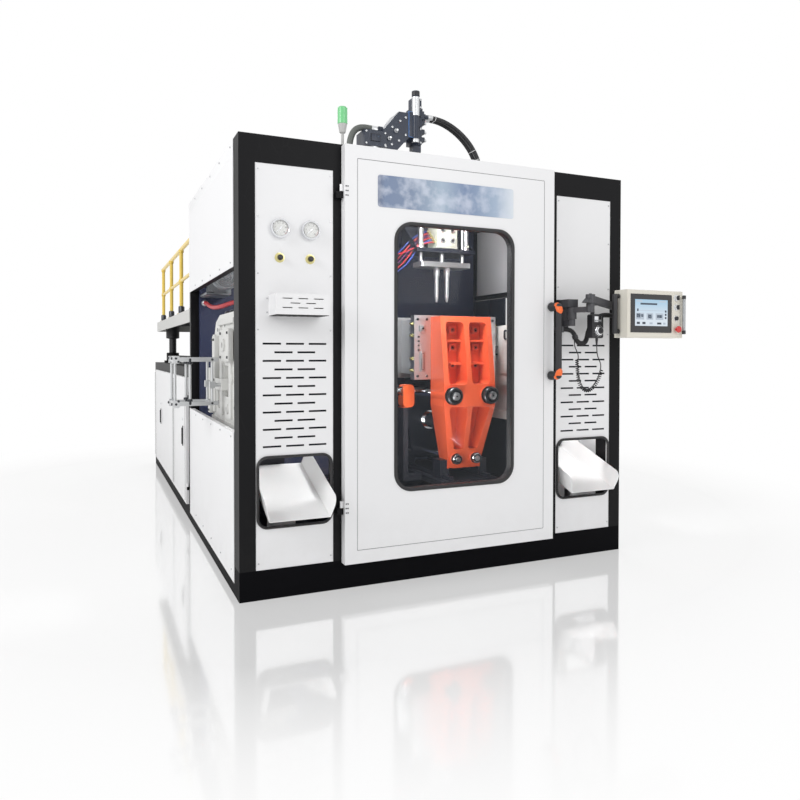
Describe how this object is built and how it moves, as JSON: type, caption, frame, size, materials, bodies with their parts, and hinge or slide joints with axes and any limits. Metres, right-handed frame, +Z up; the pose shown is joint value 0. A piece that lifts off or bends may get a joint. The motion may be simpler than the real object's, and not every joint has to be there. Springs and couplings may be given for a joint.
{
  "type": "blow moulding machine",
  "caption": "Extrusion blow moulding machine: glazed front door, shuttling clamp under blow pins, extruder on a railed platform behind, swing-arm screen.",
  "frame": {"origin": "middle of the plinth's footprint on the floor, which is the middle of the anchor holes", "axes": "+Z up, +Y from the door at the front to the rear cabinet, +X to the right as seen from the front"},
  "size_m": [2.933, 5.294, 3.124],
  "materials": {
    "white_powder": "satin white powder coat",
    "black_frame": "satin black paint",
    "plinth_black": "satin black paint",
    "grey_cast": "light grey machine paint",
    "orange_cast": "orange enamel",
    "steel": "ground",
    "chrome": "polished",
    "aluminium": "milled",
    "glass": "clear",
    "rail_yellow": "pale yellow enamel",
    "navy": "dark blue paint",
    "cream_box": "cream powder coat",
    "screen": "lit display in a black bezel",
    "black_plastic": "fine grain",
    "red_plastic": "gloss",
    "lamp_green": "translucent",
    "rubber": "matt",
    "grey_hose": "matt",
    "granulate_steel": "rolled sheet",
    "platform_grey": "light grey paint",
    "blue_plate": "dark enamel"
  },
  "bodies": {
    "root": {"base_frame": "plinth_black", "main_frame": "black_frame", "front_panel_left": "white_powder", "front_panel_right": "white_powder", "chutes": "steel", "vent_hood": "white_powder", "side_panels": "white_powder", "side_cladding": "white_powder", "roof_panel": "white_powder", "bulkhead": "navy", "door_hinges": "black_frame", "gauge_cases": "chrome", "machine_bed": "steel", "blow_unit": "aluminium", "deflash_units": "grey_cast", "rear_cabinet": "white_powder", "hydraulic_unit": "navy", "levelling_jacks": "navy", "signal_lamp": "lamp_green", "arm_bracket": "black_frame"},
    "door": {"door_leaf": "white_powder", "window_pane": "glass", "door_handle": "black_plastic"},
    "cabinet_door_a": {"cabinet_door_front": "white_powder"},
    "cabinet_door_b": {"cabinet_door_rear": "white_powder"},
    "needle_left": {"gauge_needle_left": "steel"},
    "needle_right": {"gauge_needle_right": "steel"},
    "regulator_left": {"regulator_knob_left": "black_plastic"},
    "regulator_right": {"regulator_knob_right": "black_plastic"},
    "shuttle": {"carriage": "orange_cast"},
    "front_group": {"front_platen": "orange_cast", "tie_bars": "chrome", "mould_front": "aluminium"},
    "rear_group": {"rear_platen": "grey_cast", "clamp_cylinder": "chrome", "mould_rear": "aluminium"},
    "blow_group": {"blow_plate": "chrome"},
    "takeout": {"takeout_frame": "aluminium"},
    "extruder": {"platform": "platform_grey", "handrails": "rail_yellow", "extruder_drive": "blue_plate", "barrel": "steel", "hopper": "granulate_steel", "die_head": "steel", "valve_set": "blue_plate", "hose_grey": "grey_hose", "hose_pair": "rubber"},
    "arm_inner": {"arm_link_inner": "black_frame"},
    "arm_outer": {"arm_link_outer": "black_frame", "pendant": "black_plastic", "curly_cord": "rubber", "pendant_lead": "rubber", "conduit": "rubber"},
    "screen_box": {"operator_box": "cream_box", "screen_bezel": "screen"},
    "selector_a": {"selector_upper": "chrome"},
    "selector_b": {"selector_lower": "chrome"},
    "button": {"push_button": "black_plastic"},
    "stop": {"emergency_stop": "red_plastic"},
    "dial": {"pendant_dial": "chrome"}
  },
  "joints": [
    {"name": "door_hinge", "type": "hinge", "parent": "root", "child": "door", "pos_m": [-0.691, -2.512, 1.2], "axis": [0, 0, -1], "range_deg": [0, 95]},
    {"name": "cabinet_front_hinge", "type": "hinge", "parent": "root", "child": "cabinet_door_a", "pos_m": [-1.242, -0.529, 0.6], "axis": [0, 0, 1], "range_deg": [0, 100]},
    {"name": "cabinet_rear_hinge", "type": "hinge", "parent": "root", "child": "cabinet_door_b", "pos_m": [-1.242, 2.171, 0.6], "axis": [0, 0, -1], "range_deg": [0, 100]},
    {"name": "needle_left_spin", "type": "hinge", "parent": "root", "child": "needle_left", "pos_m": [-1.018, -2.49, 1.925], "axis": [0, 1, 0], "range_deg": [0, 270], "stiffness_Nm_per_rad": 0.002, "springref_deg": -17.19},
    {"name": "needle_right_spin", "type": "hinge", "parent": "root", "child": "needle_right", "pos_m": [-0.854, -2.49, 1.925], "axis": [0, 1, 0], "range_deg": [0, 270], "stiffness_Nm_per_rad": 0.002, "springref_deg": -17.19},
    {"name": "regulator_left_turn", "type": "hinge", "parent": "root", "child": "regulator_left", "pos_m": [-1.018, -2.49, 1.775], "axis": [0, -1, 0], "continuous": true},
    {"name": "regulator_right_turn", "type": "hinge", "parent": "root", "child": "regulator_right", "pos_m": [-0.854, -2.49, 1.775], "axis": [0, -1, 0], "continuous": true},
    {"name": "carriage_shuttle", "type": "slide", "parent": "root", "child": "shuttle", "axis": [1, 0, 0], "range_m": [-0.553, 0]},
    {"name": "front_clamp", "type": "slide", "parent": "shuttle", "child": "front_group", "axis": [0, -1, 0], "range_m": [0, 0.125]},
    {"name": "rear_clamp", "type": "slide", "parent": "shuttle", "child": "rear_group", "axis": [0, 1, 0], "range_m": [0, 0.125]},
    {"name": "blow_stroke", "type": "slide", "parent": "root", "child": "blow_group", "axis": [0, 0, -1], "range_m": [0, 0.17]},
    {"name": "takeout_slide", "type": "slide", "parent": "root", "child": "takeout", "axis": [1, 0, 0], "range_m": [-0.12, 0]},
    {"name": "platform_lift", "type": "slide", "parent": "root", "child": "extruder", "axis": [0, 0, 1], "range_m": [0, 0.03]},
    {"name": "arm_base_pivot", "type": "hinge", "parent": "root", "child": "arm_inner", "pos_m": [0.766, -2.58, 1.55], "axis": [0, 0, -1], "range_deg": [0, 45]},
    {"name": "arm_elbow", "type": "hinge", "parent": "arm_inner", "child": "arm_outer", "pos_m": [0.806, -2.705, 1.6], "axis": [0, 0, -1], "range_deg": [0, 120]},
    {"name": "box_swivel", "type": "hinge", "parent": "arm_outer", "child": "screen_box", "pos_m": [1.2, -2.59, 1.5], "axis": [0, 0, 1], "range_deg": [0, 35]},
    {"name": "selector_upper_turn", "type": "hinge", "parent": "screen_box", "child": "selector_a", "pos_m": [1.406, -2.78, 1.622], "axis": [0, 1, 0], "range_deg": [-45, 45]},
    {"name": "selector_lower_turn", "type": "hinge", "parent": "screen_box", "child": "selector_b", "pos_m": [1.406, -2.78, 1.564], "axis": [0, 1, 0], "range_deg": [-45, 45]},
    {"name": "push_button_travel", "type": "slide", "parent": "screen_box", "child": "button", "axis": [0, 1, 0], "range_m": [0, 0.005], "stiffness_N_per_m": 600, "springref_m": -0.002},
    {"name": "emergency_stop_travel", "type": "slide", "parent": "screen_box", "child": "stop", "axis": [0, 1, 0], "range_m": [0, 0.005], "stiffness_N_per_m": 1500, "springref_m": -0.002},
    {"name": "dial_turn", "type": "hinge", "parent": "arm_outer", "child": "dial", "pos_m": [0.918, -2.648, 1.416], "axis": [0, 1, 0], "continuous": true}
  ],
  "couplings": [
    {"joint": "rear_clamp", "follows": "front_clamp", "ratio": 1}
  ]
}
